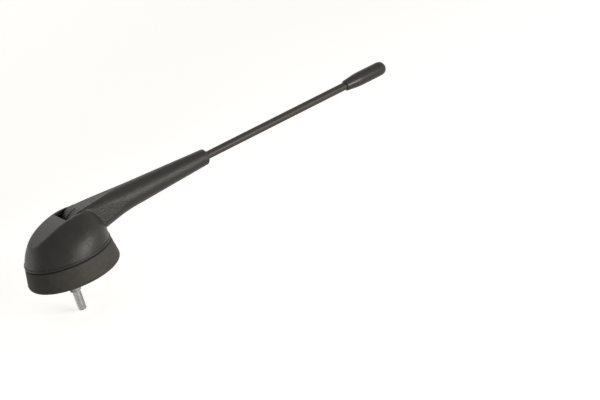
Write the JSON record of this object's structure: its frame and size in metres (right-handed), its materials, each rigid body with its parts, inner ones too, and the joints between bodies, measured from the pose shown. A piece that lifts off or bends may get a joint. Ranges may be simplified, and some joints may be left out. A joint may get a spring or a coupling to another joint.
{
  "type": "roof antenna",
  "caption": "Short car roof antenna: a tilting arm with a whip mast in the slot of a moulded cover, on a flared rubber foot with a threaded stud.",
  "frame": {"origin": "on the stud's axis in the roof plane, which is the foot's lower face", "axes": "+Z along the roof's normal, out of the roof; +X to the rear, where the lowered mast points; +Y to the right of the cover seen from behind the mast's tip"},
  "size_m": [0.2603, 0.0492, 0.0574],
  "materials": {
    "foot_rubber": "matt moulded rubber",
    "cover_plastic": "fine moulded grain, satin",
    "arm_plastic": "fine moulded grain, satin",
    "sheath_plastic": "satin",
    "tip_plastic": "smooth, half gloss",
    "bush_plastic": "moulded",
    "rod_core": "glass-fibre rod",
    "die_cast_metal": "as cast",
    "zinc_steel": "zinc plated",
    "core_brass": "turned"
  },
  "bodies": {
    "base": {"foot_gasket": "foot_rubber", "base_cover": "cover_plastic", "base_plate": "die_cast_metal", "mounting_stud": "zinc_steel", "stud_bush": "bush_plastic", "pivot_pin": "zinc_steel", "pin_lock_ring": "zinc_steel", "friction_washer_left": "zinc_steel", "friction_washer_right": "zinc_steel", "cover_screw_front": "zinc_steel", "cover_screw_left": "zinc_steel", "cover_screw_right": "zinc_steel"},
    "arm": {"tilt_arm": "arm_plastic", "arm_core": "core_brass", "mast_core": "rod_core", "mast_sheath": "sheath_plastic", "mast_tip": "tip_plastic"}
  },
  "joints": [
    {"name": "arm_tilt", "type": "hinge", "parent": "base", "child": "arm", "pos_m": [0.017, 0, 0.02451], "axis": [0, -1, 0], "range_deg": [0, 90]}
  ]
}
